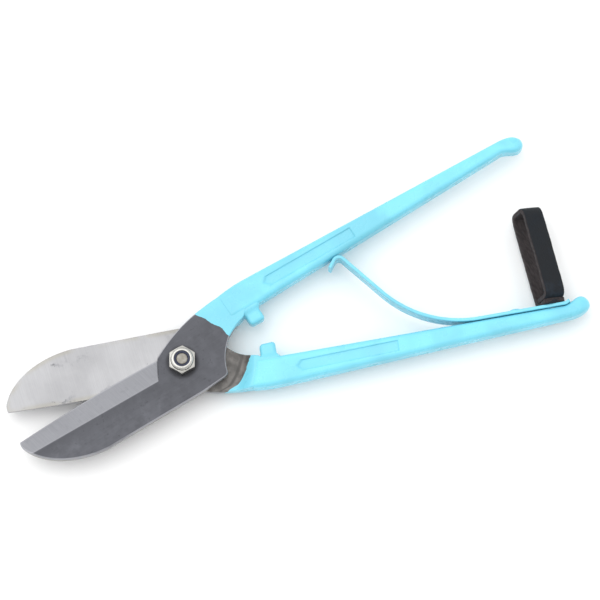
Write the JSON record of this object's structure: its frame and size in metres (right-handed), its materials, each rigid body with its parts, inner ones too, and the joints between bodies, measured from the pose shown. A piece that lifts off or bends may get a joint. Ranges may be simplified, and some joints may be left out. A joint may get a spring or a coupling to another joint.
{
  "type": "tinner's snips",
  "caption": "Straight-handled sheet-metal snips: two forged halves on a bolt pivot, a riveted leaf spring that opens them and a leather keeper strap.",
  "frame": {"origin": "pivot axis, at the underside of the pivot bolt's head, which is the lowest face of the snips lying flat", "axes": "+X along the line half way between the handles, towards their ends, with the blades to -X; +Z along the pivot axis, from the bolt head to the nut; +Y towards the upper handle, which is on the front half"},
  "size_m": [0.3018, 0.1022, 0.0239],
  "materials": {
    "painted_forging": "gloss sky-blue paint on the handles, ground bare steel on head and blades",
    "painted_spring": "gloss sky-blue paint",
    "plated_steel": "bright zinc plate",
    "nylon": "dark navy nylon",
    "strap_leather": "black dressed leather with a brown-grey cut edge"
  },
  "bodies": {
    "rear": {"rear_half": "painted_forging", "pivot_bolt": "plated_steel", "pivot_nut": "plated_steel", "nut_lock_ring": "nylon", "leaf_rivet": "painted_spring", "strap_rivet": "plated_steel", "strap_burr": "plated_steel"},
    "front": {"front_half": "painted_forging"},
    "leaf": {"leaf_spring": "painted_spring"},
    "strap": {"keeper_strap": "strap_leather"}
  },
  "joints": [
    {"name": "jaws", "type": "hinge", "parent": "rear", "child": "front", "pos_m": [0, 0, 0.0106], "axis": [0, 0, 1], "range_deg": [-15.2, 0], "stiffness_Nm_per_rad": 18, "deforming": ["leaf_spring"]},
    {"name": "leaf_bend", "type": "hinge", "parent": "rear", "child": "leaf", "pos_m": [0.15763, -0.02809, 0.0106], "axis": [0, 0, 1], "range_deg": [0, 21.5]},
    {"name": "strap_swing", "type": "hinge", "parent": "rear", "child": "strap", "pos_m": [0.19095, -0.03532, 0.0106], "axis": [0, 0, 1], "range_deg": [-75, 20], "stiffness_Nm_per_rad": 0.05, "deforming": ["keeper_strap"]}
  ],
  "couplings": [
    {"joint": "leaf_bend", "follows": "jaws", "ratio": -1.4}
  ]
}
